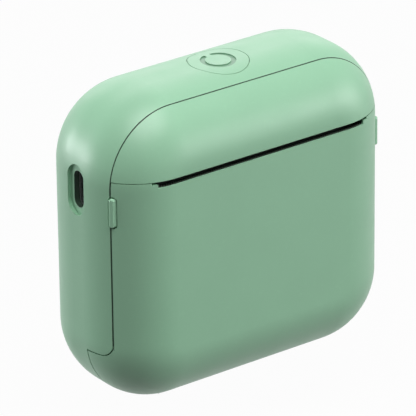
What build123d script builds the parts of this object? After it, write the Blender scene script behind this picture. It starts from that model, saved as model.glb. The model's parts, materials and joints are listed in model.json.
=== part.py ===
from build123d import *
import math
import os

# Portable photo printer, in millimetres. X is to the right seen from the front,
# the front faces -Y, Z is up, and the origin is under the middle of the case.

# Case
case_width = 84.0
case_height = 79.0
case_depth = 38.5
top_corner = 20.0
bottom_corner = 18.5
front_round = 16.0
rear_round = 18.0
wall = 1.8
rest_cut = 0.3  # taken off the rounded underside, so that the case stands on a flat
far = 100.0  # past every face of the case

# Parting line between the rear shell and the parts in front of it
seam_y = -11.8
ear_back = -4.1
ear_top = 15.5
seam_corner = 3.5
ear_corner = 1.0
cover_gap = 0.3
fascia_gap = 0.2

# Paper slot
slot_bottom = 59.95
slot_shoulder = 60.8  # above this the slot is a little longer
cover_top = 61.3
fascia_bottom = 61.5
slot_half = 30.6
slot_step = 1.4

# Cover hinge
hinge_z = 2.2
hinge_y = ear_back + hinge_z
hinge_bead = math.hypot(hinge_z, hinge_z) + 0.1
bead_half = 31.3
pin_radius = 0.8
lug_radius = 1.7
arm_radius = 1.8
arm_near = 22.5
arm_far = 25.5
lug_width = 2.2
side_play = 0.3
running_fit = 0.06

# Power button
button_y = -1.25
button_radius = 7.4
button_gap = 0.15
button_bottom = 74.4
button_travel = 0.4
ring_outer = 4.35
ring_inner = 3.15
ring_depth = 0.3
ring_break = 94.5  # where the ring is open, in degrees from +X towards the rear
ring_break_width = 1.6

# Charging socket on the left side
socket_y = -1.0
socket_z = 56.45
recess_height = 12.85
recess_width = 6.55
recess_depth = 0.95
mouth_height = 9.4
mouth_width = 3.8
socket_height = 8.94
socket_thick = 3.26
socket_length = 7.0
socket_sunk = 1.3  # how far the metal shell starts behind the recess's floor
socket_wall = 0.3
charge_board_thick = 1.0

# Release tabs on both side seams
tab_z = 53.7
tab_y = -12.1
tab_height = 7.5
tab_width = 1.3
tab_proud = 0.6
tab_edge = 0.4
tab_plate_out = 38.4
tab_plate_thick = 1.2
tab_clearance = 0.3
tab_travel = 0.8
hook_z = 40.0
tab_spring_y = -4.5

# Paper bay
bay_y = -0.4
bay_z = 21.2
bay_radius = 14.8
bay_wall = 1.1
side_inner = 29.6
side_outer = 30.8
chassis_front = -4.6
liner_back = -5.1

# Print head and platen
platen_y = -9.5
platen_z = 56.0
platen_radius = 4.0
platen_half = 28.8
platen_shaft_radius = 1.0
bush_radius = 1.75
head_gap = 0.08
head_half = 29.2
head_thick = 1.0
sink_thick = 2.0
head_low = 52.0
head_high = 60.6
head_pivot_z = 48.2
head_pivot_radius = 1.0
backing_y = 2.2

# Gears, of one module
module = 0.4
pressure_angle = 25.0
tooth_thinning = 0.07
platen_teeth = 22
idler_teeth = 24
compound_small_teeth = 14
compound_large_teeth = 32
pinion_teeth = 12
inner_layer = 31.2
outer_layer = 33.9
gear_width = 1.9
motor_y = 7.2
motor_z = 46.0
motor_radius = 7.5
motor_length = 13.4

# Boards and battery
board_z = 65.8
board_thick = 1.2
board_half = 29.0
board_front = -8.4
board_back = 8.7
battery_thick = 5.6

os.makedirs("parts", exist_ok=True)


def box_between(low, high, mode=Mode.ADD):
    """A box given by its lowest and highest corners, added to the part being built."""
    size = [b - a for a, b in zip(low, high)]
    middle = tuple((a + b) / 2 for a, b in zip(low, high))
    with Locations(middle):
        Box(*size, mode=mode)


def rod(start, end, radius, mode=Mode.ADD):
    """A round rod from one point to another, added to the part being built."""
    run = Vector(*end) - Vector(*start)
    with Locations(Plane(origin=start, z_dir=run).location):
        Cylinder(radius, run.length, align=(Align.CENTER, Align.CENTER, Align.MIN), mode=mode)


def side_plate(points, x_low, x_high, mode=Mode.ADD):
    """A plate across X whose outline is given as (y, z) points."""
    with BuildSketch(Plane.YZ.offset(x_low)) as outline:
        with BuildLine():
            Polyline(*points, close=True)
        make_face()
    extrude(outline.sketch, amount=x_high - x_low, mode=mode)


def upright_stadium(y, z, height, width, x_low, x_high, mode=Mode.ADD):
    """A slot-shaped bar along X, taller than wide."""
    with BuildSketch(Plane.YZ.offset(x_low)) as outline:
        with Locations((y, z)):
            SlotOverall(height, width, rotation=90)
    extrude(outline.sketch, amount=x_high - x_low, mode=mode)


def both(side, low, high):
    """The two ends of a stretch of X on one side of the case, in rising order."""
    return sorted((side * low, side * high))


def case_block(inset):
    """The rounded block of the case, drawn in by inset on every side."""
    low = inset - rest_cut
    high = case_height - inset
    with BuildPart() as block:
        with BuildSketch(Plane.XZ.offset(case_depth / 2 - inset)) as outline:
            with Locations((0, (low + high) / 2)):
                Rectangle(case_width - 2 * inset, high - low)
            fillet(outline.vertices().group_by(Axis.Y)[-1], radius=top_corner - inset)
            fillet(outline.vertices().group_by(Axis.Y)[0], radius=bottom_corner - inset)
        extrude(amount=-(case_depth - 2 * inset))
        fillet(block.edges().group_by(Axis.Y)[0], radius=front_round - inset)
        fillet(block.edges().group_by(Axis.Y)[-1], radius=rear_round - inset)
        split(bisect_by=Plane.XY, keep=Keep.TOP)
    return block.part


def front_side(growth):
    """Everything in front of the parting line, grown by growth towards the rear shell."""
    with BuildPart() as region:
        with BuildSketch(Plane.YZ.offset(-far)) as outline:
            with BuildLine():
                Polyline(
                    (-far, -far),
                    (ear_back + growth, -far),
                    (ear_back + growth, ear_top + growth),
                    (seam_y + growth, ear_top + growth),
                    (seam_y + growth, far),
                    (-far, far),
                    close=True,
                )
            make_face()
            corners = outline.vertices().filter_by_position(Axis.Y, 0, ear_top + 2)
            fillet(corners.sort_by(Axis.X)[0], radius=seam_corner - growth)
            fillet(corners.sort_by(Axis.X)[-1], radius=ear_corner + growth)
        extrude(amount=2 * far)
    return region.part


def bead(radius, half_length):
    """The round edge about the hinge line on which the lower seam closes."""
    with BuildPart() as roll:
        rod((-half_length, hinge_y, hinge_z), (half_length, hinge_y, hinge_z), radius)
    return roll.part


case_outside = case_block(0)
case_inside = case_block(wall)

with BuildPart() as case_wall:
    add(case_outside)
    add(case_inside, mode=Mode.SUBTRACT)

with BuildPart() as rear_cut:
    add(front_side(cover_gap))
    add(bead(hinge_bead, bead_half), mode=Mode.SUBTRACT)

with BuildPart() as cover_keep:
    add(front_side(0))
    add(bead(hinge_bead + cover_gap, bead_half + cover_gap), mode=Mode.SUBTRACT)
    box_between((-far, -far, cover_top), (far, far, far), mode=Mode.SUBTRACT)

# Where the chassis is screwed to the rear shell, and the fascia to the chassis
chassis_ear_x = 34.0
chassis_ear_z = (28.0, 66.0)
chassis_ear_front = 4.0
chassis_ear_thick = 1.4
chassis_boss_radius = 2.2
screw_radius = 0.95
screw_hole = 1.0
screw_pass = 1.1
screw_head = 1.9
screw_head_high = 1.3
fascia_boss_x = 31.5
fascia_boss_z = 67.0
fascia_boss_back = -6.0

# Rear shell
with BuildPart() as rear_shell:
    add(case_wall.part)
    add(rear_cut.part, mode=Mode.SUBTRACT)
    box_between((-46, socket_y - 5, socket_z - 8), (-38.9, socket_y + 5, socket_z + 8))
    for side in (-1, 1):
        for ear_z in chassis_ear_z:
            boss_start = (side * chassis_ear_x, chassis_ear_front + chassis_ear_thick, ear_z)
            boss_end = (side * chassis_ear_x, case_depth / 2, ear_z)
            rod(boss_start, boss_end, chassis_boss_radius)
            rod(boss_start, (side * chassis_ear_x, 11.0, ear_z), screw_hole, mode=Mode.SUBTRACT)
        for near in (arm_near - side_play - lug_width, arm_far + side_play):
            start, end = both(side, near, near + lug_width)
            rod((start, hinge_y, hinge_z), (end, hinge_y, hinge_z), lug_radius)
            box_between((start, hinge_y - 1.4, 0.8), (end, hinge_y + 1.4, hinge_z))
            rod((start, hinge_y, hinge_z), (end, hinge_y, hinge_z), pin_radius, mode=Mode.SUBTRACT)
        start, end = both(side, arm_near - side_play, arm_far + side_play)
        box_between((start, -8, -1), (end, hinge_y + arm_radius + side_play, 2.0), mode=Mode.SUBTRACT)
        pocket = both(side, 36.5, tab_plate_out + 0.1)
        box_between(
            (pocket[0], seam_y, tab_z - tab_height / 2 - 3.2),
            (pocket[1], -8.6, tab_z + tab_height / 2 + 0.8),
            mode=Mode.SUBTRACT,
        )
        start, end = both(side, 34, 46)
        upright_stadium(
            tab_y,
            tab_z,
            tab_height + 2 * tab_clearance,
            tab_width + 2 * tab_clearance,
            start,
            end,
            mode=Mode.SUBTRACT,
        )
    add(case_outside, mode=Mode.INTERSECT)
    rod((0, button_y, 70), (0, button_y, 85), button_radius + button_gap, mode=Mode.SUBTRACT)
    recess_floor = -case_width / 2 + recess_depth
    upright_stadium(
        socket_y, socket_z, recess_height, recess_width, -46, recess_floor, mode=Mode.SUBTRACT
    )
    upright_stadium(
        socket_y, socket_z, mouth_height, mouth_width, recess_floor, -36, mode=Mode.SUBTRACT
    )

# Upper fascia
with BuildPart() as upper_fascia:
    add(case_wall.part)
    add(front_side(cover_gap - fascia_gap), mode=Mode.INTERSECT)
    box_between((-far, -far, -far), (far, far, fascia_bottom), mode=Mode.SUBTRACT)
    box_between((-side_inner, -18.2, fascia_bottom), (side_inner, -8.2, fascia_bottom + 1.1))
    for side in (-1, 1):
        boss_front = (side * fascia_boss_x, -case_depth / 2, fascia_boss_z)
        boss_back = (side * fascia_boss_x, fascia_boss_back, fascia_boss_z)
        rod(boss_front, boss_back, chassis_boss_radius)
        screw_end = (side * fascia_boss_x, -11.0, fascia_boss_z)
        rod(screw_end, boss_back, screw_hole, mode=Mode.SUBTRACT)
    add(case_outside, mode=Mode.INTERSECT)

# Front cover
liner_screw_x = 24.0
liner_screw_z = (37.0, 48.5)
liner_front = -15.8
liner_thick = 1.2
blade_inset = 0.4  # thickness of the cover's lip in front of the blade
blade_thick = 0.6
blade_low = 57.0
blade_groove = case_block(blade_inset)
blade_back = case_block(blade_inset + blade_thick)
with BuildPart() as front_cover:
    add(case_wall.part)
    add(cover_keep.part, mode=Mode.INTERSECT)
    for side in (-1, 1):
        start, end = both(side, arm_near, arm_far)
        rod((start, hinge_y, hinge_z), (end, hinge_y, hinge_z), arm_radius)
        side_plate(
            [
                (hinge_y, hinge_z - 0.3),
                (-7.0, hinge_z - 0.3),
                (-7.0, 1.0),
                (-10.0, 1.2),
                (-10.0, hinge_z + arm_radius),
                (hinge_y, hinge_z + arm_radius),
            ],
            start,
            end,
        )
        bore_end = running_fit + pin_radius
        rod((start, hinge_y, hinge_z), (end, hinge_y, hinge_z), bore_end, mode=Mode.SUBTRACT)
        for screw_z in liner_screw_z:
            boss_front = (side * liner_screw_x, -case_depth / 2 + 0.5, screw_z)
            boss_back = (side * liner_screw_x, liner_front, screw_z)
            rod(boss_front, boss_back, 2.4)
            pilot = (side * liner_screw_x, -case_depth / 2 + 1.3, screw_z)
            rod(pilot, boss_back, screw_hole, mode=Mode.SUBTRACT)
        start, end = both(side, 34, 46)
        upright_stadium(
            tab_y,
            tab_z,
            tab_height + 2 * tab_clearance,
            tab_width + 2 * tab_clearance,
            start,
            end,
            mode=Mode.SUBTRACT,
        )
    slot_end = slot_half + slot_step
    box_between((-slot_end, -far, slot_shoulder), (slot_end, -12, cover_top + 1), mode=Mode.SUBTRACT)
    box_between((-slot_half, -far, slot_bottom), (slot_half, -12, cover_top + 1), mode=Mode.SUBTRACT)
    with BuildPart(mode=Mode.PRIVATE) as rebate:
        box_between((-slot_half, -far, blade_low), (slot_half, -12, cover_top + 1))
        add(blade_groove, mode=Mode.INTERSECT)
    add(rebate.part, mode=Mode.SUBTRACT)

# Tear blade: a thin strip behind the cover's lip that follows its curve, with a row of teeth on top
tooth_pitch = 0.65
tooth_high = 0.45
blade_teeth = int(2 * slot_half / tooth_pitch)
with BuildPart() as tear_blade:
    with BuildSketch(Plane.XZ.offset(12.0)) as comb:
        with BuildLine():
            tip = slot_bottom + tooth_high
            comb_half = blade_teeth * tooth_pitch / 2
            edge = [(-comb_half, blade_low)]
            for tooth in range(blade_teeth):
                left = -comb_half + tooth * tooth_pitch
                edge.append((left, slot_bottom))
                edge.append((left + tooth_pitch / 2, tip))
            edge.append((comb_half, slot_bottom))
            edge.append((comb_half, blade_low))
            Polyline(*edge, close=True)
        make_face()
    extrude(amount=far)
    add(blade_groove, mode=Mode.INTERSECT)
    add(blade_back, mode=Mode.SUBTRACT)


def arc_wall(start_deg, end_deg, x_low, x_high, mode=Mode.ADD):
    """A stretch of the paper bay's round wall, between two angles about the bay's middle."""
    outer = bay_radius + bay_wall
    with BuildSketch(Plane.YZ.offset(x_low)) as ring:
        with BuildLine():
            rise = end_deg - start_deg
            outside = CenterArc((bay_y, bay_z), outer, start_deg, rise)
            inside = CenterArc((bay_y, bay_z), bay_radius, start_deg, rise)
            Line(outside @ 0, inside @ 0)
            Line(outside @ 1, inside @ 1)
        make_face()
    extrude(ring.sketch, amount=x_high - x_low, mode=mode)


def along(a, b, distance):
    """The point that far from a towards b."""
    gap = math.dist(a, b)
    return tuple(p + (q - p) * distance / gap for p, q in zip(a, b))


def mesh_corner(a, b, from_a, from_b):
    """The point below the line from a to b that lies at two given distances from them."""
    gap = math.dist(a, b)
    foot = (from_a**2 - from_b**2 + gap**2) / (2 * gap)
    rise = math.sqrt(from_a**2 - foot**2)
    y, z = along(a, b, foot)
    run = ((b[0] - a[0]) / gap, (b[1] - a[1]) / gap)
    return (y + rise * run[1], z - rise * run[0])


def mesh_distance(teeth_a, teeth_b):
    return module * (teeth_a + teeth_b) / 2


def mesh_phase(phase, teeth, next_teeth, direction):
    """Where a gear's first tooth points, so that it meshes with the gear before it."""
    step = 360 / teeth
    offset = ((direction - phase) / step) % 1.0
    return direction + 180 + (offset + 0.5) * 360 / next_teeth


def heading(a, b):
    return math.degrees(math.atan2(b[1] - a[1], b[0] - a[0]))


# The idler stands straight behind the platen, seen along the way the cover opens
platen_centre = (platen_y, platen_z)
hinge_centre = (hinge_y, hinge_z)
swing = heading(hinge_centre, platen_centre) - 90
idler_distance = mesh_distance(platen_teeth, idler_teeth)
idler_centre = (
    platen_y + idler_distance * math.cos(math.radians(swing)),
    platen_z + idler_distance * math.sin(math.radians(swing)),
)
motor_centre = (motor_y, motor_z)
compound_centre = mesh_corner(
    idler_centre,
    motor_centre,
    mesh_distance(idler_teeth, compound_small_teeth),
    mesh_distance(compound_large_teeth, pinion_teeth),
)
platen_phase = heading(platen_centre, idler_centre)
idler_phase = mesh_phase(platen_phase, platen_teeth, idler_teeth, platen_phase)
to_compound = heading(idler_centre, compound_centre)
compound_small_phase = mesh_phase(idler_phase, idler_teeth, compound_small_teeth, to_compound)
to_motor = heading(compound_centre, motor_centre)
compound_large_phase = to_motor
pinion_phase = mesh_phase(compound_large_phase, compound_large_teeth, pinion_teeth, to_motor)


def gear(teeth, centre, phase, x_low, width, bore):
    """A spur gear across X with involute teeth, its first tooth pointing along phase."""
    pitch_radius = module * teeth / 2
    base_radius = pitch_radius * math.cos(math.radians(pressure_angle))
    tip_radius = pitch_radius + 0.8 * module
    root_radius = pitch_radius - 1.1 * module

    def roll(radius):
        """The involute's polar angle at a radius."""
        if radius <= base_radius:
            return 0.0
        tangent = math.sqrt((radius / base_radius) ** 2 - 1)
        return tangent - math.atan(tangent)

    half_tooth = math.pi / (2 * teeth) - tooth_thinning / (2 * pitch_radius)
    radii = [root_radius, pitch_radius - 0.4 * module, pitch_radius, tip_radius]
    flank = [(radius, half_tooth + roll(pitch_radius) - roll(radius)) for radius in radii]
    outline = []
    for tooth in range(teeth):
        middle = math.radians(phase) + 2 * math.pi * tooth / teeth
        for radius, spread in flank:
            outline.append((radius, middle - spread))
        for radius, spread in reversed(flank):
            outline.append((radius, middle + spread))
    points = [
        (centre[0] + radius * math.cos(angle), centre[1] + radius * math.sin(angle))
        for radius, angle in outline
    ]
    with BuildPart() as wheel:
        side_plate(points, x_low, x_low + width)
        if bore:
            start = (x_low, *centre)
            rod(start, (x_low + width, *centre), bore, mode=Mode.SUBTRACT)
    return wheel.part


# Chassis: the rear half of the paper bay, the side plates and everything that is fixed to them
gear_pin_radius = 0.75
backing_thick = 1.2
backing_low = 54.5
backing_high = 62.2
plate_top = 64.6
battery_wall_y = 8.0
battery_x = (-24.0, 12.0)
battery_low = 37.4
battery_high = 68.8
charge_board_y = socket_y + socket_thick / 2
charge_board_z = (49.0, 65.0)
charge_post_x = -32.2
charge_post_z = (50.6, 62.6)
charge_screw_length = 2.0
board_screw_y = (-2.0, 6.4)
board_screw_x = 27.6
with BuildPart() as chassis:
    arc_wall(-104, 104, -side_outer, side_outer)
    for side in (-1, 1):
        start, end = both(side, side_inner, side_outer)
        side_plate(
            [
                (chassis_front, 7.0),
                (8.0, 8.6),
                (12.4, 12.0),
                (13.4, 30.0),
                (13.4, 60.0),
                (10.5, 66.0),
                (8.2, 69.4),
                (3.0, 69.4),
                (2.0, plate_top + 1.2),
                (fascia_boss_back + 1.4, plate_top + 1.2),
                (fascia_boss_back + 1.4, 64.0),
                (-4.2, 62.6),
                (-4.2, 46.5),
                (-6.1, 44.0),
                (-6.1, 38.0),
                (chassis_front, 36.0),
            ],
            start,
            end,
        )
        # Arm up to the fascia's screw
        start, end = both(side, side_inner, fascia_boss_x + 2.2)
        arm_low = (start, fascia_boss_back, plate_top + 1.2)
        box_between(arm_low, (end, fascia_boss_back + 1.4, fascia_boss_z + 2.2))
        start, end = both(side, side_inner, side_outer)
        box_between((start, fascia_boss_back, 63.2), (end, 3.0, fascia_boss_z - 0.6))
        fascia_screw = (side * fascia_boss_x, fascia_boss_back - 1, fascia_boss_z)
        rod(fascia_screw, (side * fascia_boss_x, 0, fascia_boss_z), screw_pass, mode=Mode.SUBTRACT)
        # Ears on the rear shell's bosses
        for ear_z in chassis_ear_z:
            start, end = both(side, side_inner, chassis_ear_x + 2.4)
            ear_low = (start, chassis_ear_front, ear_z - 2.4)
            box_between(ear_low, (end, chassis_ear_front + chassis_ear_thick, ear_z + 2.4))
            screw = (side * chassis_ear_x, chassis_ear_front - 1, ear_z)
            rod(screw, (side * chassis_ear_x, 7.0, ear_z), screw_pass, mode=Mode.SUBTRACT)
        # Ledges under the main board
        start, end = both(side, 25.6, side_outer)
        box_between((start, -4.2, board_z - 1.2), (end, 8.0, board_z))
        for screw_y in board_screw_y:
            below = (side * board_screw_x, screw_y, board_z - 3)
            rod(below, (side * board_screw_x, screw_y, board_z + 1), screw_hole, mode=Mode.SUBTRACT)
        # Room for the fascia screw's head
        head_face = (side * fascia_boss_x, fascia_boss_back + 1.4, fascia_boss_z)
        head_room = (side * fascia_boss_x, fascia_boss_back + 3.2, fascia_boss_z)
        rod(head_face, head_room, screw_head + 0.2, mode=Mode.SUBTRACT)
    # Keep the board's own space clear
    box_between((-side_inner, -6.0, board_z), (side_inner, 9.0, 72), mode=Mode.SUBTRACT)
    # Backing wall for the head springs
    backing_box = (-side_outer, backing_y, backing_low)
    box_between(backing_box, (side_outer, backing_y + backing_thick, backing_high))
    # Battery wall and shelf
    box_between((-side_outer, battery_wall_y, 34.4), (13.6, battery_wall_y + 1.0, 62.0))
    shelf_low = (battery_x[0] - 1, battery_wall_y, battery_low - 1.2)
    box_between(shelf_low, (battery_x[1] + 1, 15.0, battery_low))
    # Motor face on the right side plate, bores for the pins and the pivot rod
    rod((side_inner - 1, *motor_centre), (side_outer + 1, *motor_centre), 2.0, mode=Mode.SUBTRACT)
    for centre in (idler_centre, compound_centre):
        bore_start = (side_inner - 1, *centre)
        rod(bore_start, (side_outer + 1, *centre), gear_pin_radius, mode=Mode.SUBTRACT)
    head_pivot = (chassis_front + 2.2, head_pivot_z)
    rod((-far, *head_pivot), (far, *head_pivot), head_pivot_radius, mode=Mode.SUBTRACT)
    # Posts for the charging board on the left side plate
    for post_z in charge_post_z:
        post_low = (charge_post_x - 1.8, charge_board_y + charge_board_thick, post_z - 1.2)
        box_between(post_low, (-side_inner, charge_board_y + charge_board_thick + 2.4, post_z + 1.2))
        post = (charge_post_x, charge_board_y - 1, post_z)
        rod(post, (charge_post_x, charge_board_y + 3, post_z), screw_hole, mode=Mode.SUBTRACT)
    for motor_screw_z in (-5.2, 5.2):
        hole = (motor_y, motor_z + motor_screw_z)
        rod((side_inner - 1, *hole), (side_outer + 1, *hole), 0.8, mode=Mode.SUBTRACT)

# Cover liner: the front half of the paper bay, the upper plate and the platen's arms
with BuildPart() as cover_liner:
    liner_back_angle = math.degrees(math.acos((liner_back - bay_y) / (bay_radius + bay_wall)))
    arc_wall(152, 360 - liner_back_angle, -side_outer, side_outer)
    box_between((-side_outer, liner_front, bay_z + 6.2), (side_outer, liner_front + liner_thick, 59.4))
    for side in (-1, 1):
        start, end = both(side, side_inner, side_outer)
        with BuildSketch(Plane.YZ.offset(start)) as cheek:
            with Locations((bay_y, bay_z)):
                Circle(bay_radius + bay_wall / 2)
            with Locations((0, bay_z)):
                Rectangle(-2 * liner_back, 60, mode=Mode.SUBTRACT)
            with Locations((far / 2, bay_z)):
                Rectangle(far, 60, mode=Mode.SUBTRACT)
        extrude(cheek.sketch, amount=end - start)
        arm_outline = [
            (liner_front, 30.0),
            (-12.6, 33.0),
            (-12.6, 48.0),
            (-7.4, 52.6),
            (-6.2, 54.8),
            (-6.2, 57.2),
            (-7.6, 59.4),
            (liner_front, 59.4),
        ]
        side_plate(arm_outline, start, end)
        # Catch plate with the window that the release hook reaches through
        start, end = both(side, side_inner, 37.0)
        box_between((start, -9.6, hook_z - 4), (end, -8.4, hook_z + 4))
        start, end = both(side, side_inner, side_outer)
        box_between((start, liner_front, hook_z - 4), (end, -8.4, hook_z + 4))
        start, end = both(side, 32.6, 36.1)
        box_between((start, -11, hook_z - 2.2), (end, -7, hook_z + 2.2), mode=Mode.SUBTRACT)
        for screw_z in liner_screw_z:
            front = (side * liner_screw_x, -17, screw_z)
            rod(front, (side * liner_screw_x, -14, screw_z), screw_pass, mode=Mode.SUBTRACT)
    rod((-far, *platen_centre), (far, *platen_centre), bush_radius, mode=Mode.SUBTRACT)

# Platen
with BuildPart() as platen_roller:
    rod((-platen_half, *platen_centre), (platen_half, *platen_centre), platen_radius)
    rod((-far, *platen_centre), (far, *platen_centre), platen_shaft_radius, mode=Mode.SUBTRACT)

with BuildPart() as platen_shaft:
    shaft_end = inner_layer + gear_width + 0.3
    rod((-side_outer - 0.6, *platen_centre), (shaft_end, *platen_centre), platen_shaft_radius)

with BuildPart() as platen_bushes:
    for side in (-1, 1):
        start, end = both(side, side_inner, side_outer)
        rod((start, *platen_centre), (end, *platen_centre), bush_radius)
        start, end = both(side, side_inner - 0.5, side_inner)
        rod((start, *platen_centre), (end, *platen_centre), 2.6)
    bore_radius = platen_shaft_radius + running_fit
    rod((-far, *platen_centre), (far, *platen_centre), bore_radius, mode=Mode.SUBTRACT)

with BuildPart() as platen_gear:
    add(gear(platen_teeth, platen_centre, platen_phase, inner_layer, gear_width, platen_shaft_radius))

# Gear train on the right side plate
gear_bore = gear_pin_radius + running_fit
with BuildPart() as idler_gear:
    add(gear(idler_teeth, idler_centre, idler_phase, inner_layer, gear_width, gear_bore))

with BuildPart() as compound_gear:
    small_width = outer_layer - inner_layer
    add(
        gear(
            compound_small_teeth,
            compound_centre,
            compound_small_phase,
            inner_layer,
            small_width,
            gear_bore,
        )
    )
    add(
        gear(
            compound_large_teeth,
            compound_centre,
            compound_large_phase,
            outer_layer,
            gear_width,
            gear_bore,
        )
    )

with BuildPart() as motor_pinion:
    add(gear(pinion_teeth, motor_centre, pinion_phase, outer_layer, gear_width, gear_pin_radius))


def gear_pin(centre, head_x):
    """A shouldered pin in the side plate with a thin head that keeps its gear on."""
    with BuildPart() as pin:
        rod((side_inner, *centre), (head_x, *centre), gear_pin_radius)
        rod((head_x, *centre), (head_x + 0.4, *centre), 1.3)
    return pin


idler_pin = gear_pin(idler_centre, inner_layer + gear_width + 0.1)
compound_pin = gear_pin(compound_centre, outer_layer + gear_width + 0.1)

# Motor
with BuildPart() as drive_motor:
    rod((side_inner - motor_length, *motor_centre), (side_inner, *motor_centre), motor_radius)
    rod((side_inner, *motor_centre), (side_outer, *motor_centre), 1.9)
    bore_start = (side_inner - motor_length + 1.5, *motor_centre)
    rod(bore_start, (far, *motor_centre), gear_pin_radius + running_fit, mode=Mode.SUBTRACT)
    for motor_screw_z in (-5.2, 5.2):
        hole = (motor_y, motor_z + motor_screw_z)
        rod((side_inner - 2.5, *hole), (side_inner, *hole), 0.8, mode=Mode.SUBTRACT)

with BuildPart() as motor_shaft:
    shaft_start = (side_inner - motor_length + 1.7, *motor_centre)
    rod(shaft_start, (outer_layer + gear_width, *motor_centre), gear_pin_radius)

with BuildPart() as motor_screws:
    for motor_screw_z in (-5.2, 5.2):
        hole = (motor_y, motor_z + motor_screw_z)
        rod((side_inner - 2.3, *hole), (side_outer, *hole), 0.75)
        rod((side_outer, *hole), (side_outer + 0.9, *hole), 1.4)

# Print head: a ceramic strip on an aluminium heat sink that tilts on a rod
head_front = platen_y + platen_radius + head_gap
sink_front = head_front + head_thick
sink_back = sink_front + sink_thick
with BuildPart() as print_head:
    box_between((-head_half, head_front, head_low), (head_half, sink_front, head_high))

with BuildPart() as head_heat_sink:
    box_between((-head_half, sink_front, head_pivot_z + 1.6), (head_half, sink_back, head_high))
    for lug in (-1, 0, 1):
        middle = lug * (head_half - 2)
        rod((middle - 2, *head_pivot), (middle + 2, *head_pivot), 1.9)
        lug_low = (middle - 2, sink_front, head_pivot_z)
        box_between(lug_low, (middle + 2, sink_back, head_pivot_z + 2))
    bore_radius = head_pivot_radius + running_fit
    rod((-far, *head_pivot), (far, *head_pivot), bore_radius, mode=Mode.SUBTRACT)

with BuildPart() as head_pivot_rod:
    rod((-side_outer, *head_pivot), (side_outer, *head_pivot), head_pivot_radius)


def coil(start, direction, side_way, length, radius, wire, turns):
    """A wire spring of one unbroken tube, each quarter turn made of two arcs that join smoothly."""
    axis = Vector(*direction)
    across = Vector(*side_way)
    upward = axis.cross(across)
    climb = length - wire
    first = Vector(*start) + axis * (wire / 2)
    quarters = turns * 4

    def spot(step):
        angle = math.pi / 2 * step
        around = across * math.cos(angle) + upward * math.sin(angle)
        return first + around * radius + axis * (climb * step / quarters)

    def way(step):
        angle = math.pi / 2 * step
        around = upward * math.cos(angle) - across * math.sin(angle)
        return (around * (radius * math.pi / 2) + axis * (climb / quarters)).normalized()

    with BuildPart() as spring:
        with BuildLine() as path:
            for step in range(quarters):
                p, q = spot(step), spot(step + 1)
                t, u = way(step), way(step + 1)
                chord = q - p
                both_ways = t + u
                a = both_ways.dot(both_ways) - 4
                b = -2 * chord.dot(both_ways)
                c = chord.dot(chord)
                reach = (-b - math.sqrt(b * b - 4 * a * c)) / (2 * a)
                if reach < 0:
                    reach = (-b + math.sqrt(b * b - 4 * a * c)) / (2 * a)
                joint = (p + t * reach + q - u * reach) / 2
                TangentArc(p, joint, tangent=t)
                TangentArc(joint, q, tangent=(q - u * reach) - (p + t * reach))
        with BuildSketch(Plane(origin=path.line @ 0, z_dir=path.line % 0)):
            Circle(wire / 2)
        sweep(path=path.line)
    return spring.part


spring_x = 12.0
spring_z = 58.4
head_spring_length = backing_y - sink_back
with BuildPart() as head_springs:
    for side in (-1, 1):
        spring_start = (side * spring_x, sink_back, spring_z)
        add(coil(spring_start, (0, 1, 0), (1, 0, 0), head_spring_length, 1.6, 0.4, 4))

with BuildPart() as head_flex:
    flex_y = (sink_front + sink_back) / 2
    box_between((-9, flex_y - 0.15, head_high), (9, flex_y + 0.15, 64.3))


tab_reach = case_block(-tab_proud)


# Release tabs, their springs and hooks
def release_tab(side):
    """A tab through the side seam on a plate inside, with the hook that holds the cover."""
    plate = both(side, tab_plate_out - tab_plate_thick, tab_plate_out)
    with BuildPart() as tab:
        start, end = both(side, tab_plate_out - tab_plate_thick, case_width)
        upright_stadium(tab_y, tab_z, tab_height, tab_width, start, end)
        add(tab_reach, mode=Mode.INTERSECT)
        outer_face = tab.faces().sort_by(Axis.X)[-1 if side > 0 else 0]
        fillet(outer_face.edges(), radius=tab_edge)
        box_between((plate[0], tab_y, tab_z - 3.6), (plate[1], -8.8, tab_z + 3.6))
        box_between((plate[0], -9.0, 46.8), (plate[1], -3.0, tab_z + 3.6))
        box_between((plate[0], -7.4, hook_z - 2.6), (plate[1], -3.0, 47.0))
        start, end = both(side, 34.4, tab_plate_out)
        box_between((start, -7.4, hook_z - 1.5), (end, -6.2, hook_z + 1.5))
        start, end = both(side, 34.4, 35.6)
        box_between((start, -11.4, hook_z - 1.5), (end, -6.2, hook_z + 1.5))
        start, end = both(side, 35.4, 35.9)
        box_between((start, -11.4, hook_z - 1.5), (end, -10.1, hook_z + 1.5))
    return tab


def tab_spring(side):
    """The coil that pushes a release tab out from the chassis."""
    length = tab_plate_out - tab_plate_thick - side_outer
    with BuildPart() as spring:
        start = (side * side_outer, tab_spring_y, hook_z)
        add(coil(start, (side, 0, 0), (0, 1, 0), length, 1.2, 0.35, 5))
    return spring


release_tab_left = release_tab(-1)
release_tab_right = release_tab(1)
tab_spring_left = tab_spring(-1)
tab_spring_right = tab_spring(1)

# Power button, its cap cut from the case's own roundness
with BuildPart() as ring_groove:
    with BuildSketch(Plane.XY.offset(button_bottom + 1)) as ring_mark:
        with Locations((0, button_y)):
            Circle(ring_outer)
            Circle(ring_inner, mode=Mode.SUBTRACT)
        break_angle = math.radians(ring_break)
        break_middle = (ring_outer + ring_inner) / 2
        break_x = break_middle * math.cos(break_angle)
        break_y = button_y + break_middle * math.sin(break_angle)
        with Locations((break_x, break_y)):
            Rectangle(2.4, ring_break_width, rotation=ring_break, mode=Mode.SUBTRACT)
    extrude(amount=20)
    add(case_block(ring_depth), mode=Mode.SUBTRACT)

with BuildPart() as power_button:
    rod((0, button_y, button_bottom), (0, button_y, 85), button_radius)
    add(case_outside, mode=Mode.INTERSECT)
    add(ring_groove.part, mode=Mode.SUBTRACT)
    rod((0, button_y, button_bottom), (0, button_y, button_bottom + 0.7), button_radius + 1.0)

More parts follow.
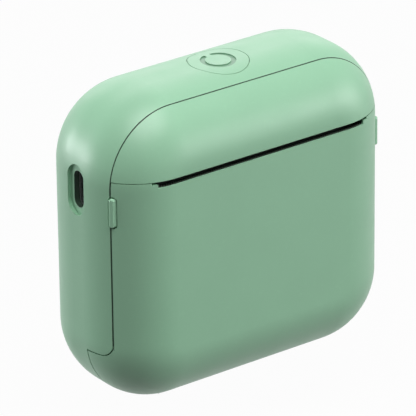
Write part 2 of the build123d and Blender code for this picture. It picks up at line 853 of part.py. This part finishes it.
# Main board and what is on it
switch_low = board_z + board_thick
switch_high = switch_low + 3.5
plunger_radius = 1.7
with BuildPart() as main_board:
    box_between((-board_half, board_front, board_z), (board_half, board_back, board_z + board_thick))
    for side in (-1, 1):
        for screw_y in board_screw_y:
            below = (side * board_screw_x, screw_y, board_z - 1)
            rod(below, (side * board_screw_x, screw_y, board_z + 3), screw_pass, mode=Mode.SUBTRACT)

with BuildPart() as board_components:
    top = board_z + board_thick
    box_between((-22, -5, top), (-15, 2, top + 0.9))
    box_between((10, -6, top), (20, 6, top + 1.9))
    box_between((-13, 3, top), (-10, 7, top + 1.4))
    box_between((-12.5, -5.5, top), (-9, -2, top + 1.8))
    box_between((-9, 5.4, top), (-4, 8.4, top + 2.6))
    box_between((3, 5.6, top), (8, 8.4, top + 2.6))
    box_between((-10, flex_y - 1.0, 64.3), (10, flex_y + 1.0, board_z))

with BuildPart() as push_switch:
    box_between((-3, button_y - 3, switch_low), (3, button_y + 3, switch_high))
    below = (0, button_y, switch_high - 1.4)
    rod(below, (0, button_y, switch_high + 1), plunger_radius + 0.1, mode=Mode.SUBTRACT)

with BuildPart() as switch_plunger:
    rod((0, button_y, switch_high - 0.7), (0, button_y, button_bottom), plunger_radius)

with BuildPart() as board_screws:
    for side in (-1, 1):
        for screw_y in board_screw_y:
            x = side * board_screw_x
            rod((x, screw_y, board_z - 1.1), (x, screw_y, switch_low), screw_radius)
            rod((x, screw_y, switch_low), (x, screw_y, switch_low + 0.9), 1.6)

# Charging board and socket
with BuildPart() as charge_board:
    board_low = (-38.6, charge_board_y, charge_board_z[0])
    box_between(board_low, (-31.0, charge_board_y + charge_board_thick, charge_board_z[1]))
    for post_z in charge_post_z:
        post = (charge_post_x, charge_board_y - 1, post_z)
        rod(post, (charge_post_x, charge_board_y + 2, post_z), screw_hole, mode=Mode.SUBTRACT)

with BuildPart() as charge_screws:
    for post_z in charge_post_z:
        face = charge_board_y
        tip = (charge_post_x, face + charge_screw_length, post_z)
        rod((charge_post_x, face, post_z), tip, screw_radius)
        rod((charge_post_x, face - 0.9, post_z), (charge_post_x, face, post_z), 1.2)

socket_front = recess_floor + socket_sunk
socket_back = socket_front + socket_length
with BuildPart() as socket_shell:
    upright_stadium(socket_y, socket_z, socket_height, socket_thick, socket_front, socket_back)
    upright_stadium(
        socket_y,
        socket_z,
        socket_height - 2 * socket_wall,
        socket_thick - 2 * socket_wall,
        socket_front,
        socket_back - 0.6,
        mode=Mode.SUBTRACT,
    )

with BuildPart() as socket_tongue:
    tongue_low = (socket_front + 1.0, socket_y - 0.35, socket_z - 3.35)
    box_between(tongue_low, (socket_back - 0.6, socket_y + 0.35, socket_z + 3.35))

# Battery
with BuildPart() as battery:
    battery_front = battery_wall_y + 1.0
    with BuildSketch(Plane.XY.offset(battery_low)) as cell:
        middle = sum(battery_x) / 2
        with Locations((middle, battery_front + battery_thick / 2)):
            RectangleRounded(battery_x[1] - battery_x[0], battery_thick, 1.6)
    extrude(amount=battery_high - battery_low)


def lead(points, bend):
    """A thin round wire along straight runs joined by arcs."""
    with BuildPart() as wire:
        with BuildLine() as path:
            FilletPolyline(*points, radius=bend)
        with BuildSketch(Plane(origin=path.line @ 0, z_dir=path.line % 0)):
            Circle(0.45)
        sweep(path=path.line)
    return wire.part


with BuildPart() as battery_leads:
    for lead_x in (-7.4, -5.6):
        plug_z = switch_low + 1.3
        add(lead([(lead_x, 12, battery_high), (lead_x, 12, plug_z + 2.4), (lead_x, 8.4, plug_z + 2.4)], 1.2))

with BuildPart() as motor_leads:
    motor_rear = side_inner - motor_length
    for lead_y in (4.8, 6.4):
        corner = (motor_rear - 2.0, lead_y, motor_z + 3)
        add(lead([(motor_rear, lead_y, motor_z + 3), corner, (motor_rear - 2.0, lead_y, board_z)], 1.2))

# Paper sensor on the liner's inner face
with BuildPart() as paper_sensor:
    box_between((-2.2, liner_front + liner_thick, 33.0), (2.2, liner_front + liner_thick + 1.4, 35.6))

# Screws and hinge pins
with BuildPart() as chassis_screws:
    for side in (-1, 1):
        for ear_z in chassis_ear_z:
            x = side * chassis_ear_x
            rod((x, chassis_ear_front, ear_z), (x, 10.4, ear_z), screw_radius)
            rod((x, chassis_ear_front - screw_head_high, ear_z), (x, chassis_ear_front, ear_z), screw_head)

with BuildPart() as fascia_screws:
    for side in (-1, 1):
        x = side * fascia_boss_x
        face = fascia_boss_back + 1.4
        rod((x, -10.6, fascia_boss_z), (x, face, fascia_boss_z), screw_radius)
        rod((x, face, fascia_boss_z), (x, face + screw_head_high, fascia_boss_z), screw_head)

with BuildPart() as liner_screws:
    for side in (-1, 1):
        for screw_z in liner_screw_z:
            x = side * liner_screw_x
            face = liner_front + liner_thick
            rod((x, -17.6, screw_z), (x, face, screw_z), screw_radius)
            rod((x, face, screw_z), (x, face + 0.9, screw_z), 1.7)

with BuildPart() as hinge_pins:
    for side in (-1, 1):
        inner = arm_near - side_play - lug_width
        outer = arm_far + side_play + lug_width
        start, end = both(side, inner, outer)
        rod((start, hinge_y, hinge_z), (end, hinge_y, hinge_z), pin_radius)

pieces = {
    "rear_shell": rear_shell,
    "upper_fascia": upper_fascia,
    "front_cover": front_cover,
    "tear_blade": tear_blade,
    "chassis": chassis,
    "cover_liner": cover_liner,
    "platen_roller": platen_roller,
    "platen_shaft": platen_shaft,
    "platen_bushes": platen_bushes,
    "platen_gear": platen_gear,
    "idler_gear": idler_gear,
    "idler_pin": idler_pin,
    "compound_gear": compound_gear,
    "compound_pin": compound_pin,
    "motor_pinion": motor_pinion,
    "motor_shaft": motor_shaft,
    "drive_motor": drive_motor,
    "motor_screws": motor_screws,
    "print_head": print_head,
    "head_heat_sink": head_heat_sink,
    "head_pivot_rod": head_pivot_rod,
    "head_springs": head_springs,
    "head_flex": head_flex,
    "release_tab_left": release_tab_left,
    "release_tab_right": release_tab_right,
    "tab_spring_left": tab_spring_left,
    "tab_spring_right": tab_spring_right,
    "power_button": power_button,
    "push_switch": push_switch,
    "switch_plunger": switch_plunger,
    "main_board": main_board,
    "board_components": board_components,
    "board_screws": board_screws,
    "charge_board": charge_board,
    "charge_screws": charge_screws,
    "socket_shell": socket_shell,
    "socket_tongue": socket_tongue,
    "battery": battery,
    "battery_leads": battery_leads,
    "motor_leads": motor_leads,
    "paper_sensor": paper_sensor,
    "chassis_screws": chassis_screws,
    "fascia_screws": fascia_screws,
    "liner_screws": liner_screws,
    "hinge_pins": hinge_pins,
}

for name, piece in pieces.items():
    piece.part.label = name
    export_step(piece.part, f"parts/{name}.step")
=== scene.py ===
import bpy
import bmesh
import json
import math
from mathutils import Matrix, Vector


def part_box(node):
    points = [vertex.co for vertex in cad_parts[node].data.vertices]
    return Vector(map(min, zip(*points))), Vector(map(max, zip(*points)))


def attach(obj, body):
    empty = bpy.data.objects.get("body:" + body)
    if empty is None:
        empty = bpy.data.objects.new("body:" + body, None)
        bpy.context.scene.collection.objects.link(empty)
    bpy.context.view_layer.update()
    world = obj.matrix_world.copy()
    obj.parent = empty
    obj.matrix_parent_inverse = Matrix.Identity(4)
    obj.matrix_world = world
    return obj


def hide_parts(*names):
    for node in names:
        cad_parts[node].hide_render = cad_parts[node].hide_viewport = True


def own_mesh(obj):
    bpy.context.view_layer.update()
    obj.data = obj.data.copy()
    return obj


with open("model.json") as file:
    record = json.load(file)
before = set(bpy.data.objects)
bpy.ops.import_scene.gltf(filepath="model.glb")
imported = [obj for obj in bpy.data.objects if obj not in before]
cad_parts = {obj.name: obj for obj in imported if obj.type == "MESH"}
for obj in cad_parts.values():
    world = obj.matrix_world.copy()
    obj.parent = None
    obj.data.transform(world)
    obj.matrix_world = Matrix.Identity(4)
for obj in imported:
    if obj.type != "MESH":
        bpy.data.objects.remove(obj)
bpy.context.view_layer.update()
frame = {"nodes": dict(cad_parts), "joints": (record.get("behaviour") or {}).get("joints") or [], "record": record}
nodes = frame["nodes"]

MM = 0.001


# Shader helpers
def blank_material(name):
    """A new material with only its shader and output, and its node tree."""
    material = bpy.data.materials.new(name)
    material.use_nodes = True
    tree = material.node_tree
    tree.nodes.clear()
    output = tree.nodes.new("ShaderNodeOutputMaterial")
    shader = tree.nodes.new("ShaderNodeBsdfPrincipled")
    tree.links.new(shader.outputs["BSDF"], output.inputs["Surface"])
    return material, tree, shader


def place_of(tree):
    """The point being shaded, in the object's own metres."""
    return tree.nodes.new("ShaderNodeTexCoord").outputs["Object"]


def axes_of(tree, vector):
    """The X, Y and Z of a point."""
    axes = tree.nodes.new("ShaderNodeSeparateXYZ")
    tree.links.new(vector, axes.inputs["Vector"])
    return axes.outputs


def stretched(tree, vector, scale):
    """The same point with its axes stretched, for grain that runs one way."""
    mapping = tree.nodes.new("ShaderNodeMapping")
    mapping.inputs["Scale"].default_value = scale
    tree.links.new(vector, mapping.inputs["Vector"])
    return mapping.outputs["Vector"]


def noise(tree, vector, size_mm, detail=2.0, roughness=0.5):
    """Cloudy noise whose blotches are about size_mm across."""
    node = tree.nodes.new("ShaderNodeTexNoise")
    node.inputs["Scale"].default_value = 1 / (size_mm * MM)
    node.inputs["Detail"].default_value = detail
    node.inputs["Roughness"].default_value = roughness
    tree.links.new(vector, node.inputs["Vector"])
    return node.outputs["Fac"]


def spread(tree, value, low, high, to_low, to_high):
    """A value taken from one range to another and held inside it."""
    node = tree.nodes.new("ShaderNodeMapRange")
    limits = {"From Min": low, "From Max": high, "To Min": to_low, "To Max": to_high}
    for key, number in limits.items():
        node.inputs[key].default_value = number
    tree.links.new(value, node.inputs["Value"])
    return node.outputs["Result"]


def blended(tree, factor, first, second):
    """Two colours mixed by a factor; each may be a socket or a plain colour."""
    node = tree.nodes.new("ShaderNodeMix")
    node.data_type = "RGBA"
    ins = [socket for socket in node.inputs if socket.enabled]
    for socket, given in zip(ins, (factor, first, second)):
        if isinstance(given, bpy.types.NodeSocket):
            tree.links.new(given, socket)
        else:
            socket.default_value = (*given, 1.0)
    return next(socket for socket in node.outputs if socket.enabled)


def sums(tree, operation, first, second=0.0):
    """One step of arithmetic on sockets or numbers."""
    node = tree.nodes.new("ShaderNodeMath")
    node.operation = operation
    for socket, given in zip(node.inputs, (first, second)):
        if isinstance(given, bpy.types.NodeSocket):
            tree.links.new(given, socket)
        else:
            socket.default_value = given
    return node.outputs["Value"]


def product(tree, *values):
    """Several masks multiplied together."""
    result = values[0]
    for value in values[1:]:
        result = sums(tree, "MULTIPLY", result, value)
    return result


def band(tree, value, low, high):
    """1 where a value lies between two limits, 0 elsewhere."""
    above = sums(tree, "GREATER_THAN", value, low)
    below = sums(tree, "LESS_THAN", value, high)
    return product(tree, above, below)


def bumped(tree, shader, height, depth_mm, strength):
    """Small relief on the shader from a height between 0 and 1."""
    node = tree.nodes.new("ShaderNodeBump")
    node.inputs["Strength"].default_value = strength
    node.inputs["Distance"].default_value = depth_mm * MM
    tree.links.new(height, node.inputs["Height"])
    tree.links.new(node.outputs["Normal"], shader.inputs["Normal"])


def shade(colour, amount):
    """A colour made lighter or darker."""
    return tuple(min(1.0, channel * amount) for channel in colour)


# Finishes
def moulded(name, colour, roughness, grain_mm, depth_mm, mottle=0.012):
    """Moulded plastic: a spark-eroded skin, faint flow mottling and uneven gloss."""
    material, tree, shader = blank_material(name)
    place = place_of(tree)
    flow = spread(tree, noise(tree, place, 14.0, 3.0), 0.35, 0.65, 0.0, 1.0)
    clouded = blended(tree, flow, shade(colour, 1 - mottle), shade(colour, 1 + mottle))
    dust = spread(tree, noise(tree, place, 1.1, 5.0, 0.6), 0.55, 0.75, 0.0, 0.12)
    speckled = blended(tree, dust, clouded, shade(colour, 1.25))
    tree.links.new(speckled, shader.inputs["Base Color"])
    smear = noise(tree, place, 6.0, 4.0, 0.6)
    gloss = spread(tree, smear, 0.3, 0.7, roughness - 0.04, roughness + 0.05)
    tree.links.new(gloss, shader.inputs["Roughness"])
    bumped(tree, shader, noise(tree, place, grain_mm, 3.0, 0.6), depth_mm, 0.5)
    return material


def metal(name, colour, roughness, along):
    """Metal with a drawn or ground grain that runs along one axis."""
    material, tree, shader = blank_material(name)
    place = place_of(tree)
    stretch = {"x": (0.04, 1, 1), "none": (1, 1, 1)}[along]
    grain = noise(tree, stretched(tree, place, stretch), 0.05, 4.0, 0.7)
    stain = spread(tree, noise(tree, place, 5.0, 4.0, 0.6), 0.35, 0.7, 0.0, 1.0)
    tree.links.new(blended(tree, stain, colour, shade(colour, 0.82)), shader.inputs["Base Color"])
    shader.inputs["Metallic"].default_value = 1.0
    gloss = spread(tree, grain, 0.3, 0.7, roughness - 0.08, roughness + 0.12)
    tree.links.new(gloss, shader.inputs["Roughness"])
    bumped(tree, shader, grain, 0.004, 0.4)
    return material


def ground_rubber(name, colour):
    """Platen rubber: ground round and round, dusty with paper."""
    material, tree, shader = blank_material(name)
    place = place_of(tree)
    dust = spread(tree, noise(tree, place, 2.5, 5.0, 0.7), 0.5, 0.8, 0.0, 0.1)
    paper_dust = (0.16, 0.16, 0.155)
    tree.links.new(blended(tree, dust, colour, paper_dust), shader.inputs["Base Color"])
    rings = noise(tree, stretched(tree, place, (1, 0.05, 0.05)), 0.12, 4.0, 0.7)
    tree.links.new(spread(tree, rings, 0.3, 0.7, 0.55, 0.75), shader.inputs["Roughness"])
    bumped(tree, shader, rings, 0.01, 0.6)
    return material


def cells(tree, place, size_mm):
    """Voronoi cells about size_mm across."""
    node = tree.nodes.new("ShaderNodeTexVoronoi")
    node.inputs["Scale"].default_value = 1 / (size_mm * MM)
    tree.links.new(place, node.inputs["Vector"])
    return node


def circuit_board(name, mask):
    """Solder mask over copper tracks, with a few bare pads."""
    material, tree, shader = blank_material(name)
    place = place_of(tree)
    lanes = cells(tree, place, 2.2)
    lanes.distance = "MANHATTAN"
    lanes.feature = "DISTANCE_TO_EDGE"
    track = spread(tree, lanes.outputs["Distance"], 0.05, 0.08, 1.0, 0.0)
    pad = spread(tree, cells(tree, place, 1.9).outputs["Distance"], 0.12, 0.15, 1.0, 0.0)
    masked = blended(tree, track, mask, shade(mask, 1.7))
    bare_pad = (0.62, 0.56, 0.35)
    tree.links.new(blended(tree, pad, masked, bare_pad), shader.inputs["Base Color"])
    tree.links.new(spread(tree, pad, 0.0, 1.0, 0.32, 0.25), shader.inputs["Roughness"])
    tree.links.new(pad, shader.inputs["Metallic"])
    bumped(tree, shader, track, 0.03, 0.6)
    return material


def shrink_foil(name, colour):
    """A foil pouch: bright, softly crinkled."""
    material, tree, shader = blank_material(name)
    crinkle = noise(tree, place_of(tree), 4.0, 5.0, 0.55)
    toned = blended(tree, crinkle, shade(colour, 0.9), shade(colour, 1.1))
    tree.links.new(toned, shader.inputs["Base Color"])
    shader.inputs["Metallic"].default_value = 0.75
    tree.links.new(spread(tree, crinkle, 0.3, 0.7, 0.28, 0.42), shader.inputs["Roughness"])
    bumped(tree, shader, crinkle, 0.15, 0.5)
    return material


# The case's plastic and the shade painted on its groove, socket mouth and shut lines
CASE_GREEN = (0.265, 0.5, 0.33)
GROOVE_PAINTED_SHADE = 0.62
MOUTH_PAINTED_SHADE = 0.12
SHUT_LINE_SHADE = 0.18


def case_plastic(name):
    """The case's satin green plastic."""
    return moulded(name, CASE_GREEN, 0.4, 0.09, 0.012)


def darkened(material, where, amount):
    """The case's plastic made darker where a mask of its own tree is 1."""
    tree = material.node_tree
    shader = next(node for node in tree.nodes if node.type == "BSDF_PRINCIPLED")
    colour = shader.inputs["Base Color"]
    skin = colour.links[0].from_socket
    tree.links.new(blended(tree, where, skin, shade(CASE_GREEN, amount)), colour)


def button_plastic(middle, inner, outer, gap_x, gap_half):
    """The case's plastic with painted shade darkening the sunk ring about middle, open at the rear."""
    material = case_plastic("button_plastic")
    tree = material.node_tree
    centred = tree.nodes.new("ShaderNodeMapping")
    centred.inputs["Location"].default_value = (-middle.x, -middle.y, 0)
    centred.inputs["Scale"].default_value = (1, 1, 0)
    tree.links.new(place_of(tree), centred.inputs["Vector"])
    flat_place = centred.outputs["Vector"]
    length = tree.nodes.new("ShaderNodeVectorMath")
    length.operation = "LENGTH"
    tree.links.new(flat_place, length.inputs[0])
    reach = length.outputs["Value"]
    soft = 0.05 * MM
    past_inner = spread(tree, reach, inner - soft, inner + soft, 0.0, 1.0)
    within_outer = spread(tree, reach, outer - soft, outer + soft, 1.0, 0.0)
    axes = axes_of(tree, flat_place)
    off_gap = sums(tree, "ABSOLUTE", sums(tree, "SUBTRACT", axes["X"], gap_x))
    beside_gap = sums(tree, "GREATER_THAN", off_gap, gap_half)
    in_front = sums(tree, "LESS_THAN", axes["Y"], 0.0)
    closed = sums(tree, "MAXIMUM", beside_gap, in_front)
    darkened(material, product(tree, past_inner, within_outer, closed), GROOVE_PAINTED_SHADE)
    return material


def paint_mouth_shade(material, mouth_low, mouth_high):
    """Painted shade, near black, inside the charging socket's mouth."""
    tree = material.node_tree
    axes = axes_of(tree, place_of(tree))
    sides = [
        band(tree, axes[axis], low, high)
        for axis, low, high in zip("XYZ", mouth_low, mouth_high)
    ]
    darkened(material, product(tree, *sides), MOUTH_PAINTED_SHADE)


def shadow_edge(material, low_y, high_y, low_z):
    """The shut line's own edge in shadow, above a height."""
    tree = material.node_tree
    axes = axes_of(tree, place_of(tree))
    at_edge = band(tree, axes["Y"], low_y * MM, high_y * MM)
    above = sums(tree, "GREATER_THAN", axes["Z"], low_z * MM)
    darkened(material, product(tree, at_edge, above), SHUT_LINE_SHADE)


finishes = {
    "case_green": case_plastic("case_green_plastic"),
    "tab_green": moulded("tab_green_plastic", shade(CASE_GREEN, 1.06), 0.36, 0.08, 0.01),
    "inner_plastic": moulded("chassis_plastic", (0.035, 0.038, 0.038), 0.55, 0.15, 0.02),
    "liner_plastic": moulded("liner_plastic", (0.060, 0.066, 0.064), 0.5, 0.12, 0.02),
    "platen_rubber": ground_rubber("platen_rubber", (0.02, 0.02, 0.021)),
    "steel": metal("ground_steel", (0.56, 0.56, 0.57), 0.3, "x"),
    "spring_steel": metal("spring_wire", (0.5, 0.5, 0.51), 0.3, "none"),
    "zinc_screw": metal("zinc_plate", (0.66, 0.67, 0.69), 0.28, "none"),
    "bush_nylon": moulded("bush_nylon", (0.68, 0.64, 0.55), 0.45, 0.1, 0.01),
    "gear_acetal": moulded("gear_acetal", (0.78, 0.76, 0.70), 0.38, 0.1, 0.008),
    "brass": metal("turned_brass", (0.72, 0.52, 0.24), 0.25, "none"),
    "motor_can": metal("motor_can", (0.6, 0.6, 0.61), 0.28, "x"),
    "head_ceramic": moulded("head_ceramic", (0.045, 0.042, 0.04), 0.12, 0.4, 0.002, 0.02),
    "aluminium": metal("heat_sink_aluminium", (0.74, 0.75, 0.76), 0.36, "x"),
    "flex_amber": moulded("ribbon_film", (0.45, 0.2, 0.04), 0.2, 0.5, 0.004),
    "board_green": circuit_board("board_mask", (0.012, 0.09, 0.035)),
    "chip_black": moulded("chip_epoxy", (0.02, 0.02, 0.022), 0.45, 0.12, 0.01),
    "switch_black": moulded("switch_black", (0.025, 0.025, 0.027), 0.45, 0.12, 0.01),
    "socket_steel": metal("socket_steel", (0.5, 0.52, 0.52), 0.3, "x"),
    "tongue_black": moulded("tongue_black", (0.03, 0.035, 0.033), 0.4, 0.1, 0.01),
    "battery_wrap": shrink_foil("battery_foil", (0.55, 0.57, 0.6)),
    "wire_sleeve": moulded("wire_sleeve", (0.35, 0.02, 0.015), 0.4, 0.2, 0.01),
}
slot_of = {entry["node"]: entry["material_slot"] for entry in frame["record"]["subparts"]}
for name, piece in nodes.items():
    piece.data.materials.clear()
    piece.data.materials.append(finishes[slot_of[name]])

button_low, button_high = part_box("power_button")
button_middle = (button_low + button_high) / 2
nodes["power_button"].data.materials[0] = button_plastic(
    button_middle, inner=3.15 * MM, outer=4.35 * MM, gap_x=-0.3 * MM, gap_half=0.8 * MM
)
# Painted shade: the tear blade gets a near-black colour, not its steel's own, so that the slot reads as a deep
# shaded band.
nodes["tear_blade"].data.materials[0] = metal("blade_painted_slot_shade", (0.06, 0.07, 0.06), 0.4, "x")

# Each shell's edge at the shut line: its lowest and highest y and its lowest z, in mm
SHUT_EDGES = {
    "rear_shell": (-11.6, -11.48, 0.0),
    "upper_fascia": (-11.74, -11.6, 0.0),
    "front_cover": (-11.84, -11.7, 17.6),
}
for name, edge in SHUT_EDGES.items():
    plastic = case_plastic(name + "_plastic")
    if name == "rear_shell":
        # painted shade inside the socket's mouth
        paint_mouth_shade(plastic, (-41.02 * MM, -3.1 * MM, 51.55 * MM), (0.0, 1.1 * MM, 61.35 * MM))
    shadow_edge(plastic, *edge)
    nodes[name].data.materials[0] = plastic


def giving_copy(name, axis, fixed_end):
    """A welded copy of a spring, held by the case and shown in its place."""
    low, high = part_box(name)
    way = "xyz".index(axis)
    anchor = (low + high) / 2
    anchor[way] = fixed_end
    direction = Vector((0, 0, 0))
    direction[way] = 1
    shape = bmesh.new()
    shape.from_mesh(nodes[name].data)
    bmesh.ops.remove_doubles(shape, verts=shape.verts, dist=0.0001 * MM)
    for face in shape.faces:
        face.smooth = "spring" in name
    mesh = bpy.data.meshes.new(name + "_giving")
    shape.to_mesh(mesh)
    shape.free()
    mesh.materials.clear()
    mesh.materials.append(finishes[slot_of[name]])
    piece = bpy.data.objects.new(name + "_giving", mesh)
    bpy.context.scene.collection.objects.link(piece)
    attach(piece, "case")
    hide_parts(name)
    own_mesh(piece)


for joint in frame["joints"]:
    for entry in joint.get("deforming_nodes", []):
        axis = entry["mode"][-1]
        giving_copy(entry["node"], axis, entry[f"fixed_end_{axis}_m"])


# Stage, light and camera
def seen_rays(tree):
    """1 for the rays that show the background: camera, glossy and transmission."""
    path = tree.nodes.new("ShaderNodeLightPath")
    seen = sums(tree, "MAXIMUM", path.outputs["Is Camera Ray"], path.outputs["Is Glossy Ray"])
    return sums(tree, "MAXIMUM", seen, path.outputs["Is Transmission Ray"])


def mixed(tree, factor, first, second):
    """Two shaders mixed by a factor."""
    mix = tree.nodes.new("ShaderNodeMixShader")
    tree.links.new(factor, mix.inputs["Fac"])
    tree.links.new(first, mix.inputs[1])
    tree.links.new(second, mix.inputs[2])
    return mix.outputs["Shader"]


def backdrop(name, size, height):
    """A pale floor, plain white to the camera and clear from below."""
    white_strength = 1.04
    white_share = 0.93
    shape = bmesh.new()
    bmesh.ops.create_grid(shape, x_segments=1, y_segments=1, size=size)
    mesh = bpy.data.meshes.new(name)
    shape.to_mesh(mesh)
    shape.free()
    floor = bpy.data.objects.new(name, mesh)
    bpy.context.scene.collection.objects.link(floor)
    material, tree, shader = blank_material(name + "_paint")
    shader.inputs["Base Color"].default_value = (0.16, 0.16, 0.16, 1)
    shader.inputs["Roughness"].default_value = 0.9
    shader.inputs["Specular IOR Level"].default_value = 0.0
    white = tree.nodes.new("ShaderNodeEmission")
    white.inputs["Strength"].default_value = white_strength
    seen = sums(tree, "MULTIPLY", seen_rays(tree), white_share)
    paint = mixed(tree, seen, shader.outputs["BSDF"], white.outputs["Emission"])
    below = tree.nodes.new("ShaderNodeNewGeometry").outputs["Backfacing"]
    clear = tree.nodes.new("ShaderNodeBsdfTransparent").outputs["BSDF"]
    output = next(node for node in tree.nodes if node.type == "OUTPUT_MATERIAL")
    tree.links.new(mixed(tree, below, paint, clear), output.inputs["Surface"])
    mesh.materials.append(material)
    mesh.transform(Matrix.Translation((0, 0, height)))


def soft_light(name, place, target, size, power, colour=(1, 1, 1)):
    """A square softbox that points at a spot."""
    lamp = bpy.data.lights.new(name, "AREA")
    lamp.shape = "RECTANGLE"
    lamp.size, lamp.size_y = size
    lamp.energy = power
    lamp.color = colour
    fixture = bpy.data.objects.new(name, lamp)
    fixture.location = place
    aim = Vector(target) - Vector(place)
    fixture.rotation_euler = aim.to_track_quat("-Z", "Y").to_euler()
    bpy.context.scene.collection.objects.link(fixture)


def sky(tree, colour, strength):
    """One world background."""
    node = tree.nodes.new("ShaderNodeBackground")
    node.inputs["Color"].default_value = (*colour, 1)
    node.inputs["Strength"].default_value = strength
    return node.outputs["Background"]


def white_room(light_level):
    """A world that is white where it is seen and a soft grey light elsewhere."""
    world = bpy.data.worlds.new("studio")
    bpy.context.scene.world = world
    world.use_nodes = True
    tree = world.node_tree
    tree.nodes.clear()
    output = tree.nodes.new("ShaderNodeOutputWorld")
    lit_sky = sky(tree, (0.95, 1, 0.98), light_level)
    seen_sky = sky(tree, (1, 1, 1), 1.0)
    tree.links.new(mixed(tree, seen_rays(tree), lit_sky, seen_sky), output.inputs["Surface"])


def studio_camera():
    """A long lens at the front, left and above, framed as the photograph is."""
    azimuth = math.radians(36.42)
    elevation = math.radians(24.56)
    roll = math.radians(-0.67)
    distance = 1.095
    shift_right = 0.002065
    shift_up = 0.000119
    middle = Vector((0, 0, 39.5 * MM))
    back = Vector(
        (
            -math.sin(azimuth) * math.cos(elevation),
            -math.cos(azimuth) * math.cos(elevation),
            math.sin(elevation),
        )
    )
    right = Vector((math.cos(azimuth), -math.sin(azimuth), 0))
    up = back.cross(right)
    right_rolled = right * math.cos(roll) + up * math.sin(roll)
    up_rolled = up * math.cos(roll) - right * math.sin(roll)
    lens = bpy.data.cameras.new("studio_camera")
    lens.sensor_width = 36
    lens.lens = 391.0
    lens.clip_start = 0.05
    lens.clip_end = 20
    camera = bpy.data.objects.new("studio_camera", lens)
    place = middle + back * distance - right_rolled * shift_right + up_rolled * shift_up
    turn = Matrix((right_rolled, up_rolled, back)).transposed().to_4x4()
    camera.matrix_world = Matrix.Translation(place) @ turn
    bpy.context.scene.collection.objects.link(camera)
    bpy.context.scene.camera = camera


# The open cover reaches 15.2 mm below the case, and the floor lies just under it
backdrop("floor", 3.0, -15.5 * MM)
soft_light("top_box", (-0.1, -0.26, 0.82), (0, 0, 0.04), (0.6, 0.6), 7.6)
soft_light("back_box", (0.42, 0.7, 0.56), (0, 0, 0.06), (0.9, 0.9), 3.2)
soft_light("front_box", (0.73, -0.66, 0.1), (0, 0, 0.05), (0.7, 0.6), 7.4)
soft_light("left_strip", (-0.58, 0.68, -0.04), (0, 0, 0.03), (0.6, 0.5), 10.5, (0.96, 0.98, 1.0))
white_room(0.035)
studio_camera()
bpy.context.scene.view_settings.view_transform = "Standard"
